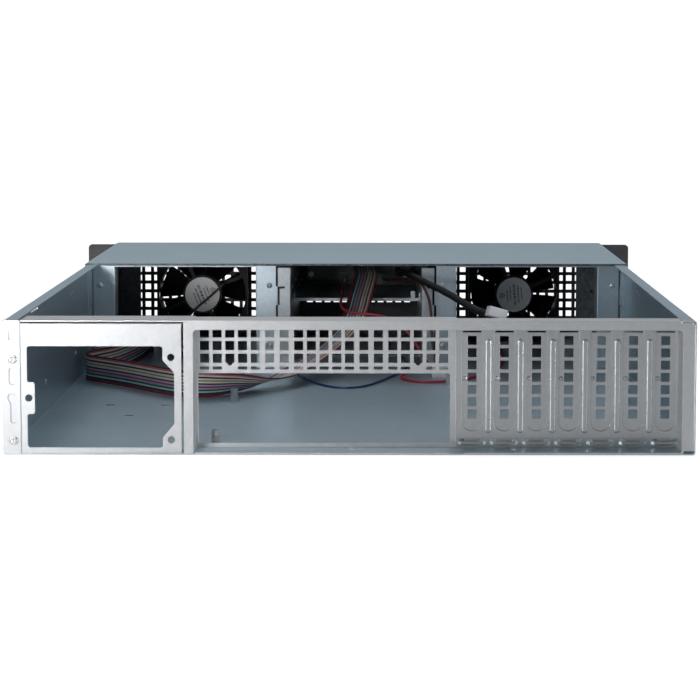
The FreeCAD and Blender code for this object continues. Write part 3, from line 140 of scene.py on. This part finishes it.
def sheet_metal(name, color, roughness, metallic=0.85, contrast=0.05, edge=0.0005, specks=0.0):
    """Satin plated sheet: faint cloudy tone, fine grain, few bright specks where rubbed."""
    made, tree, shader = start(name, color, metallic, roughness)
    near = coordinates(tree)
    cloud = noise(tree, near, 14.0, 4.0)
    spangle = add(tree, "ShaderNodeTexVoronoi", Scale=420.0)
    tree.links.new(near, spangle.inputs["Vector"])
    tone = tinted(tree, spread(tree, cloud, 0, 1),
                  shade(color, 1 - contrast), shade(color, 1 + contrast))
    flake = tinted(tree, spread(tree, spangle.outputs["Color"], 0.0, 0.10, 0.0, 1.0),
                   (0, 0, 0), (1, 1, 1))
    tree.links.new(tone.outputs["Result"], flake.inputs["A"])
    last = flake
    if specks:
        rubbed = tinted(tree, spread(tree, noise(tree, near, 620.0, 1.0), 0, 0.75, 0.74, 0.80),
                        color, shade(color, 1 + specks))
        tree.links.new(flake.outputs["Result"], rubbed.inputs["A"])
        last = rubbed
    tree.links.new(last.outputs["Result"], shader.inputs["Base Color"])
    tree.links.new(spread(tree, spangle.outputs["Color"], roughness - 0.03, roughness + 0.03, 0, 1),
                   shader.inputs["Roughness"])
    surface(tree, shader, noise(tree, near, 1800.0, 2.0), 0.00002, 0.3, edge)
    return made


def moulded(name, color, roughness, grain=900.0, contrast=0.12, depth=0.00003, edge=0.0003,
            gloss=0.5):
    """Plastic or paint: faint cloudy tone over a fine grain."""
    made, tree, shader = start(name, color, 0.0, roughness)
    shader.inputs["Specular IOR Level"].default_value = gloss
    near = coordinates(tree)
    cloud = noise(tree, near, 60.0, 3.0)
    tone = tinted(tree, spread(tree, cloud, 0, 1),
                  shade(color, 1 - contrast), shade(color, 1 + contrast))
    tree.links.new(tone.outputs["Result"], shader.inputs["Base Color"])
    tree.links.new(spread(tree, cloud, roughness - 0.05, roughness + 0.05),
                   shader.inputs["Roughness"])
    surface(tree, shader, noise(tree, near, grain, 2.0), depth, 0.4, edge)
    return made


def linear(r, g, b):
    """Scene-linear colour from 0-255 screen values."""
    out = []
    for v in (r, g, b):
        v /= 255
        out.append(v / 12.92 if v <= 0.04045 else ((v + 0.055) / 1.055) ** 2.4)
    return tuple(out)


steel_rear = sheet_metal("steel_rear", (0.56, 0.57, 0.58), 0.42, 0.8, 0.04, 0.0005, 0.5)
steel_slots = sheet_metal("steel_slots", (0.50, 0.51, 0.52), 0.34, 0.9, 0.05, 0.0005)
steel_tray = sheet_metal("steel_tray", (0.36, 0.47, 0.545), 0.40, 0.8, 0.03)
steel_bay = sheet_metal("steel_bay", (0.42, 0.49, 0.54), 0.38, 0.8, 0.05, 0.0005, 0.4)
steel_cage = sheet_metal("steel_cage", (0.36, 0.39, 0.41), 0.36, 0.85, 0.08, 0.0005, 0.8)
steel_cover = sheet_metal("steel_cover", (0.40, 0.52, 0.60), 0.46, 0.7, 0.02, 0.0)
steel_dark = sheet_metal("steel_shaded", (0.10, 0.115, 0.13), 0.40, 0.8, 0.05)
# painted shade: near-black steel standing in for the shade in the lance slits and in the gap under
# the cover's rear edge
painted_shade_steel = sheet_metal("painted_shade_steel", (0.05, 0.06, 0.065), 0.50, 0.6, 0.05, 0.0)
zinc = sheet_metal("zinc_bright", (0.72, 0.72, 0.73), 0.22, 1.0, 0.08, 0.0003)
# painted highlight: near-white glossy steel for the bright lines along bent flanks
painted_highlight_steel = sheet_metal("steel_painted_highlight", (0.85, 0.86, 0.87), 0.28, 1.0, 0.04, 0.0)
rivet = sheet_metal("rivet_bright", (0.55, 0.58, 0.60), 0.30, 1.0, 0.08, 0.0003)
black_coat = moulded("black_coat", (0.028, 0.028, 0.030), 0.50, 1500.0, 0.15, 0.00006)
black_screw = moulded("black_screw", (0.03, 0.03, 0.03), 0.35)
fan_plastic = moulded("fan_plastic", (0.006, 0.006, 0.007), 0.42, gloss=0.2)
fan_blade = moulded("fan_blade", (0.005, 0.005, 0.006), 0.45, gloss=0.15)
board = moulded("board_green", (0.010, 0.045, 0.028), 0.35)
nylon = moulded("nylon_white", (0.52, 0.54, 0.56), 0.42)
lens = moulded("lens_clear", (0.45, 0.52, 0.46), 0.15)
plug_black = moulded("plug_black", (0.014, 0.014, 0.016), 0.42)
jacket = moulded("jacket_black", (0.003, 0.0035, 0.004), 0.62, gloss=0.08)
blue = moulded("wire_blue", linear(24, 42, 92), 0.33)
red = moulded("lead_red", linear(150, 40, 60), 0.40)
brown = moulded("lead_brown", linear(62, 22, 24), 0.35)
dark_lead = moulded("lead_dark", linear(52, 24, 26), 0.35)

finish_of = {
    "chassis_tray": steel_tray, "rear_frame": steel_rear, "rear_wall": steel_rear,
    "slot_wall": steel_slots, "ear_bracket_left": steel_dark, "ear_bracket_right": steel_dark,
    "psu_plate": steel_rear, "psu_plate_screws": zinc, "slot_cover_screws": zinc,
    "bay_frame_right": steel_bay, "bay_frame_left": steel_bay, "bay_rivets": rivet,
    "side_bracket_right": steel_bay, "side_bracket_left": steel_bay,
    "drive_cage": steel_cage, "drive_shelf": steel_cage, "front_cover": steel_cover,
    "cover_screws": zinc, "front_panel": black_coat, "panel_screws": black_screw,
    "fan_screws": black_screw, "bracket_nuts": zinc, "board_standoffs": zinc,
    "floor_rivets": rivet, "control_board": board, "board_spacers": nylon,
    "power_button": plug_black, "reset_button": plug_black, "led_lenses": lens,
    "usb_ports": zinc, "ribbon_plug_floor": plug_black, "ribbon_plug_board": plug_black,
    "usb_plug": nylon, "blue_wire_plugs": plug_black, "lead_connector": nylon,
    "fan_lead_left_plug": plug_black,
}
for number in range(1, 8):
    finish_of["slot_cover_%d" % number] = steel_slots
for side in ("left", "right"):
    finish_of["fan_frame_" + side] = fan_plastic
    finish_of["fan_rotor_" + side] = fan_blade


# ------------------------------------------------------------------ hub labels
foil = (0.60, 0.605, 0.61)
foil_ink = (0.10, 0.10, 0.105)
label_rows = (               # low, high, left, right in label radii, then the bars' rate
    (-0.10, 0.04, -0.62, 0.62, 7.0), (-0.30, -0.20, -0.5, 0.55, 11.0),
    (0.16, 0.24, -0.35, 0.5, 13.0), (0.34, 0.42, -0.4, 0.35, 12.0),
    (-0.48, -0.40, -0.3, 0.4, 10.0))
sign_v, sign_hub, sign_rim, sign_spokes = 0.66, 0.03, 0.17, 7.0


def label_sheet(name, cx, cz, radius, turn):
    """Foil label with printed marks: a fan sign and rows of small bars, no words."""
    made, tree, shader = start(name, foil, 0.3, 0.45)
    where = tree.nodes.new("ShaderNodeTexCoord")
    move = tree.nodes.new("ShaderNodeMapping")
    move.vector_type = "TEXTURE"
    move.inputs["Location"].default_value = (cx, 0, cz)
    move.inputs["Rotation"].default_value = (0, math.radians(turn), 0)
    move.inputs["Scale"].default_value = (radius, radius, radius)
    tree.links.new(where.outputs["Object"], move.inputs["Vector"])
    split = tree.nodes.new("ShaderNodeSeparateXYZ")
    tree.links.new(move.outputs["Vector"], split.inputs["Vector"])
    u, v = split.outputs["X"], split.outputs["Z"]

    def calc(operation, a, b=0.0, c=0.0):
        node = tree.nodes.new("ShaderNodeMath")
        node.operation = operation
        for k, value in enumerate((a, b, c)):
            if isinstance(value, (int, float)):
                node.inputs[k].default_value = value
            else:
                tree.links.new(value, node.inputs[k])
        return node.outputs[0]

    def within(value, low, high):
        return calc("MULTIPLY", calc("GREATER_THAN", value, low), calc("LESS_THAN", value, high))

    marks = None
    for low, high, left, right, rate in label_rows:
        row = calc("MULTIPLY", within(v, low, high), within(u, left, right))
        steps = add(tree, "ShaderNodeTexNoise", noise_dimensions="1D", Scale=rate * 2.2, Detail=0.0)
        tree.links.new(calc("ADD", u, low * 7), steps.inputs["W"])
        row = calc("MULTIPLY", row, calc("GREATER_THAN", steps.outputs["Fac"], 0.46))
        marks = row if marks is None else calc("MAXIMUM", marks, row)
    above = calc("SUBTRACT", v, sign_v)
    away = calc("SQRT", calc("ADD", calc("MULTIPLY", u, u), calc("MULTIPLY", above, above)))
    spokes = calc("SINE", calc("MULTIPLY", calc("ARCTAN2", above, u), sign_spokes))
    star = calc("MULTIPLY", calc("GREATER_THAN", spokes, 0.0), within(away, sign_hub, sign_rim))
    marks = calc("MAXIMUM", marks, star)
    tone = tinted(tree, marks, foil, foil_ink)
    tree.links.new(tone.outputs["Result"], shader.inputs["Base Color"])
    near = coordinates(tree)
    surface(tree, shader, noise(tree, near, 300.0, 2.0), 0.00002, 0.3)
    return made


for side, turn in (("left", 68), ("right", -95)):
    low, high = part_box("fan_label_" + side)
    finish_of["fan_label_" + side] = label_sheet(
        "label_foil_" + side, (low[0] + high[0]) / 2, (low[2] + high[2]) / 2,
        (high[0] - low[0]) / 2, turn)

for name, node in nodes.items():
    if name in finish_of:
        node.data.materials.clear()
        node.data.materials.append(finish_of[name])

rear_face_y = REAR + 0.0012
lance_z, lance_x, lance_y = (0.00105, 0.0025), (-0.178, -0.128), (0.12, 0.172)
cover_skin_z = 0.08
flank_tilt = (0.2, 0.97)     # sideways share of the normal on a bent flank


def refinish(name, finish, chosen):
    """Give the faces that chosen picks a finish of their own."""
    mesh = nodes[name].data
    mesh.materials.append(finish)
    for face in mesh.polygons:
        if chosen(face.center, face.normal):
            face.material_index = len(mesh.materials) - 1


def in_lance(center, _):
    return (lance_z[0] < center.z < lance_z[1] and lance_x[0] < center.x < lance_x[1]
            and lance_y[0] < center.y - REAR < lance_y[1])


def on_flank(_, normal):
    return flank_tilt[0] < abs(normal.x) < flank_tilt[1] and normal.y < -0.1


# the rear-facing faces of the tray's rear strip get the brighter plate finish beside them, painted
# light on that side of the bluer tray sheet; its lances get painted shade
refinish("chassis_tray", steel_rear, lambda at, normal: at.y < rear_face_y and normal.y < -0.5)
# painted shade: the raised lance faces are made near black for the shade in their slits
refinish("chassis_tray", painted_shade_steel, in_lance)
# the bent flanks of the beads and of the slots' rims get a painted highlight: near-white glossy
# steel for the bright lines along them
refinish("slot_wall", painted_highlight_steel, on_flank)
refinish("rear_wall", painted_highlight_steel, on_flank)
# painted shade: the cover's rear edge faces are made near black for the shadow gap beneath it
refinish("front_cover", painted_shade_steel, lambda at, normal: at.z > cover_skin_z and normal.y < -0.5)


# ------------------------------------------------------------------ cords
def spline(name, points, resolution=10):
    """One open NURBS curve with the points as its control points."""
    data = bpy.data.curves.new(name, "CURVE")
    data.dimensions = "3D"
    data.resolution_u = resolution
    line = data.splines.new("NURBS")
    line.points.add(len(points) - 1)
    for point, where in zip(line.points, points):
        point.co = (*where, 1)
    line.order_u = 3
    line.use_endpoint_u = True
    made = bpy.data.objects.new(name, data)
    bpy.context.scene.collection.objects.link(made)
    return made


def cord(name, route, diameter, finish):
    points = [place(*p) for p in route]
    made = spline(name + "_line", points)
    made.data.bevel_depth = diameter / 2
    made.data.bevel_resolution = 4
    made.data.use_fill_caps = True
    made.data.materials.append(finish)
    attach(made, "case")
    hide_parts(name)


usb_route = [
    (35, 499, 63), (35, 470, 63), (35.8, 437, 66.2), (37, 402, 71), (39.5, 365, 74.8),
    (44.5, 326, 76.4), (51.5, 287, 76.8), (59.5, 247, 77), (67, 205, 77.4), (73.5, 162, 77.8),
    (79.2, 120, 78.3), (84.3, 82, 79.4), (88.6, 54, 81.4), (91.6, 32, 84.8)]
blue_route = [
    (-30, 444, 3.4), (-32, 418, 3.4), (-37.5, 392, 2.9), (-43, 366, 2.2), (-49, 340, 1.9),
    (-49.5, 316, 1.9), (-43.5, 292, 1.9), (-34, 268, 1.9), (-24, 247, 1.9), (-9.5, 235, 1.9),
    (6.5, 241, 1.9), (18, 262, 1.9), (27.5, 287, 1.9), (36.5, 312, 1.9), (42, 339, 1.9),
    (41, 366, 2.2), (36, 392, 2.9), (29.5, 418, 3.4), (26, 444, 3.4)]
right_lead_route = [
    (115.75, 488.9, 31.41), (113.5, 487.5, 21.5), (113, 482, 11.5), (115.5, 470, 3.2),
    (119, 452, 2.2), (121.5, 427, 2.2), (122, 399, 2.2), (120.5, 371, 2.2), (116.5, 345, 2.2),
    (109.5, 320, 2.2), (100, 298, 2.2), (89, 280, 2.2), (76, 267.5, 2.2), (61, 261.5, 2.2),
    (47.5, 264, 2.2), (38.5, 272.5, 2.2), (35, 283, 2.2), (39, 292, 4), (47.5, 293.5, 5.4),
    (53.5, 290, 6.2), (59.5, 290, 6.2)]
red_route = [
    (-14, 499, 56), (-14, 476, 56), (-13.5, 451, 58), (-12.5, 427, 55.4), (-12, 405, 54),
    (-12.5, 384, 52.4), (-13, 362, 49.8), (-11, 343, 47.4), (-3.5, 327.5, 46.4), (9.5, 321.5, 46.2),
    (24, 321, 44.4), (36.5, 319.5, 37.6), (45.5, 316.5, 27), (51.5, 312, 16.5), (57, 306, 9.2),
    (62.5, 300.5, 6.2), (62.5, 293.5, 6.2)]
brown_route = [
    (22, 499, 56), (22, 475, 56), (25, 448, 59.8), (31.5, 421, 62.8), (39, 394, 66),
    (46, 367, 68.6), (50.2, 342, 69.8), (54, 324.5, 67.6), (58, 315.5, 59), (59.4, 313.4, 46.5),
    (59.6, 312.8, 34), (60.4, 312, 24), (63, 309.5, 13.5), (68, 303, 6.2), (68, 293.5, 6.2)]
left_lead_route = [
    (-119.37, 488.9, 50), (-132, 488.9, 38.6), (-145.5, 488.5, 27.5), (-154.5, 487, 15.5),
    (-157.5, 480, 6.5), (-157, 468, 2.5), (-153.5, 453, 2.2), (-148, 436, 2.2),
    (-143.5, 417, 2.8), (-143, 399, 2.8)]
ribbon_route = [
    (-176, 418, 11.45), (-176, 390, 11.45), (-179.5, 362, 11.45), (-184.5, 336, 11.45),
    (-191, 314, 11.45), (-201, 298, 11.45), (-208.5, 285, 11.45), (-205, 271, 11.45),
    (-190, 258.5, 11.45), (-166, 237, 11.45), (-142, 211, 11.45), (-121, 194, 11.45),
    (-102, 195, 10.9), (-84, 210.5, 9.3), (-66.5, 230, 6.6), (-49, 252.5, 10.2),
    (-34, 277, 16.6), (-19.5, 301, 24), (-7, 327, 32.5), (0, 351, 43.5), (3.5, 377, 55.5),
    (6.5, 404, 63), (8, 432, 66.2), (6, 461, 66.5), (6, 490.5, 66.5)]

cord("usb_cable", usb_route, 0.0050, jacket)
cord("blue_wire", blue_route, 0.0016, blue)
cord("fan_lead_right", right_lead_route, 0.0022, red)
cord("red_lead", red_route, 0.0022, red)
cord("brown_lead", brown_route, 0.0022, brown)
cord("fan_lead_left", left_lead_route, 0.0022, dark_lead)

# ribbon: sixteen round conductors side by side, each of its own colour
ribbon_colors = [
    (74, 30, 36), (172, 92, 92), (205, 190, 192), (12, 10, 14), (196, 190, 178), (140, 130, 92),
    (200, 198, 186), (36, 33, 56), (176, 148, 176), (112, 52, 84), (150, 148, 152), (16, 52, 54),
    (150, 196, 196), (22, 18, 30), (112, 34, 50), (92, 30, 42)]
ribbon_w = 0.0203
ribbon_t = 0.0009
lean_from, lean_to = 0.3936, 0.6025      # shares of the length between which it tips over


def along_spline(points, resolution):
    """Points read from the NURBS curve that the route controls."""
    guide = spline("ribbon_guide", points, resolution)
    bpy.context.view_layer.update()
    mesh = bpy.data.meshes.new_from_object(guide)
    found = [v.co.copy() for v in mesh.vertices]
    bpy.data.objects.remove(guide)
    bpy.data.meshes.remove(mesh)
    return found


def ribbon(name, route):
    """Strip of round conductors that stands on edge and tips over on its way."""
    points = along_spline([place(*p) for p in route], 10)
    runs = [0.0]
    for a, b in zip(points, points[1:]):
        runs.append(runs[-1] + (b - a).length)
    count = len(ribbon_colors)
    pitch = ribbon_w / count
    profile = []                 # (across the width, out of the face) for each conductor
    for k in range(count):
        left = -ribbon_w / 2 + k * pitch
        profile.append([(left, -0.32), (left + pitch * 0.25, -0.5), (left + pitch * 0.75, -0.5),
                        (left + pitch, -0.32), (left + pitch, 0.32), (left + pitch * 0.75, 0.5),
                        (left + pitch * 0.25, 0.5), (left, 0.32)])
    vertices, faces, slots = [], [], []
    for i, p in enumerate(points):
        before, after = points[max(0, i - 1)], points[min(len(points) - 1, i + 1)]
        tangent = (after - before).normalized()
        t = min(1.0, max(0.0, (runs[i] / runs[-1] - lean_from) / (lean_to - lean_from)))
        lean = math.radians(90 * t * t * (3 - 2 * t))
        side = tangent.cross(Vector((0, 0, 1))).normalized()
        upright = side.cross(tangent).normalized()
        across = upright * math.cos(lean) + side * math.sin(lean)
        out = tangent.cross(across).normalized()
        for ring in profile:
            vertices += [p + across * w + out * (h * ribbon_t) for w, h in ring]
    sides = len(profile[0])
    row = sides * count
    for i in range(len(points) - 1):
        for k in range(count):
            base = i * row + k * sides
            for q in range(sides):
                a, b = base + q, base + (q + 1) % sides
                faces.append((a, b, b + row, a + row))
                slots.append(count - 1 - k)
    for k in range(count):
        for i in (0, len(points) - 1):
            ring = [i * row + k * sides + q for q in range(sides)]
            faces.append(ring if i else ring[::-1])
            slots.append(count - 1 - k)
    mesh = bpy.data.meshes.new(name)
    mesh.from_pydata(vertices, [], faces)
    for face, slot in zip(mesh.polygons, slots):
        face.material_index = slot
        face.use_smooth = True
    for k, color in enumerate(ribbon_colors):
        mesh.materials.append(moulded("conductor_%02d" % (k + 1), linear(*color), 0.40,
                                      500.0, 0.10, 0.00002, 0.0))
    mesh.validate()
    made = bpy.data.objects.new(name, mesh)
    bpy.context.scene.collection.objects.link(made)
    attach(made, "case")
    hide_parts("ribbon_cable")


ribbon("ribbon_strip", ribbon_route)


# ------------------------------------------------------------------ floor and light
def pale(name, color, seen, seen_far, mirrored):
    """Floor that shows as near white, and is duller to the light it throws on the case."""
    made, tree, shader = start(name, color, 0.0, 0.7)
    near = coordinates(tree)
    tone = tinted(tree, spread(tree, noise(tree, near, 2.0), 0, 1),
                  shade(color, 0.99), shade(color, 1.01))
    tree.links.new(tone.outputs["Result"], shader.inputs["Base Color"])
    away = tree.nodes.new("ShaderNodeVectorMath")
    away.operation = "LENGTH"
    tree.links.new(near, away.inputs[0])
    glow = tree.nodes.new("ShaderNodeEmission")
    rays = tree.nodes.new("ShaderNodeLightPath")
    weigh = tree.nodes.new("ShaderNodeMath")
    weigh.operation = "MULTIPLY_ADD"
    tree.links.new(rays.outputs["Is Camera Ray"], weigh.inputs[0])
    far = spread(tree, away.outputs["Value"], seen, seen_far, 0.4, 2.5)
    tree.links.new(far, weigh.inputs[1])
    gloss = tree.nodes.new("ShaderNodeMath")
    gloss.operation = "MULTIPLY"
    tree.links.new(rays.outputs["Is Glossy Ray"], gloss.inputs[0])
    gloss.inputs[1].default_value = mirrored
    tree.links.new(gloss.outputs[0], weigh.inputs[2])
    tree.links.new(weigh.outputs[0], glow.inputs["Strength"])
    both = tree.nodes.new("ShaderNodeAddShader")
    tree.links.new(shader.outputs[0], both.inputs[0])
    tree.links.new(glow.outputs[0], both.inputs[1])
    tree.links.new(both.outputs[0], tree.nodes["Material Output"].inputs["Surface"])
    return made


floor_half, floor_front, bend_start, bend_r, backdrop_top = 7.0, -6.0, 2.4, 1.2, 6.0


def sweep(name):
    """Floor that curves up into a backdrop."""
    profile = [(floor_front, 0.0), (bend_start, 0.0)]
    for step in range(1, 13):
        a = math.radians(90 * step / 12)
        profile.append((bend_start + bend_r * math.sin(a), bend_r - bend_r * math.cos(a)))
    profile.append((bend_start + bend_r, backdrop_top))
    points, faces = [], []
    for y, z in profile:
        points += [(-floor_half, y, z), (floor_half, y, z)]
    for i in range(len(profile) - 1):
        faces.append((2 * i, 2 * i + 1, 2 * i + 3, 2 * i + 2))
    mesh = bpy.data.meshes.new(name)
    mesh.from_pydata(points, [], faces)
    for face in mesh.polygons:
        face.use_smooth = True
    made = bpy.data.objects.new(name, mesh)
    bpy.context.scene.collection.objects.link(made)
    mesh.materials.append(pale("floor_pale", (0.80, 0.81, 0.82), 0.66, 0.93, 0.11))
    made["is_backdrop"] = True


sweep("floor_sweep")

world = bpy.data.worlds.new("studio")
bpy.context.scene.world = world
world.use_nodes = True
sky = world.node_tree
background = sky.nodes["Background"]
background.inputs["Color"].default_value = (0.90, 0.95, 1.0, 1)
background.inputs["Strength"].default_value = 0.21
white = add(sky, "ShaderNodeBackground", Color=(1, 1, 1, 1), Strength=1.0)
rays = sky.nodes.new("ShaderNodeLightPath")
blend = sky.nodes.new("ShaderNodeMixShader")
sky.links.new(rays.outputs["Is Camera Ray"], blend.inputs[0])
sky.links.new(background.outputs[0], blend.inputs[1])
sky.links.new(white.outputs[0], blend.inputs[2])
sky.links.new(blend.outputs[0], sky.nodes["World Output"].inputs["Surface"])


def light(name, where, toward, size_x, size_y, power, color=(1, 1, 1), spread_angle=180):
    data = bpy.data.lights.new(name, "AREA")
    data.shape = "RECTANGLE"
    data.size = size_x
    data.size_y = size_y
    data.energy = power
    data.color = color
    data.spread = math.radians(spread_angle)
    made = bpy.data.objects.new(name, data)
    made.location = where
    made.rotation_euler = (Vector(toward) - Vector(where)).to_track_quat("-Z", "Y").to_euler()
    bpy.context.scene.collection.objects.link(made)


cool, warm = (0.95, 0.98, 1.0), (1.0, 0.985, 0.98)
light("overhead", (-0.1, -0.3, 1.7), (0, 0, 0), 1.6, 1.4, 6.5, cool)
light("rear_low", (-0.75, -1.35, 0.20), (-0.22, -0.20, 0.05), 0.35, 0.3, 5.1, warm)
light("over_front", (0, 0.9, 1.2), (0, 0.2, 0.05), 1.2, 0.5, 3.2, cool)
light("side_right", (1.7, -0.50, 0.12), (0.15, -0.26, 0.05), 0.3, 0.25, 20.0)
light("side_left", (-1.7, -0.50, 0.12), (-0.15, -0.26, 0.05), 0.3, 0.25, 1.5)
light("rear_inside", (-0.45, -1.25, 0.24), (-0.20, 0.15, 0.06), 0.3, 0.15, 0.16,
      spread_angle=30)

# ------------------------------------------------------------------ camera
camera_data = bpy.data.cameras.new("camera")
camera_data.sensor_width = 36
camera_data.lens = 95.6571
camera_data.shift_x = -0.0414286
camera_data.shift_y = -0.1832857
camera_data.clip_start = 0.05
camera_data.clip_end = 60
camera = bpy.data.objects.new("camera", camera_data)
camera.location = place(17.6, -1140.4, 237.3)
camera.rotation_euler = [math.radians(a) for a in (85.40, -0.063, -0.02)]
bpy.context.scene.collection.objects.link(camera)
bpy.context.scene.camera = camera
bpy.context.scene.view_settings.view_transform = "Standard"

low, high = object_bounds()
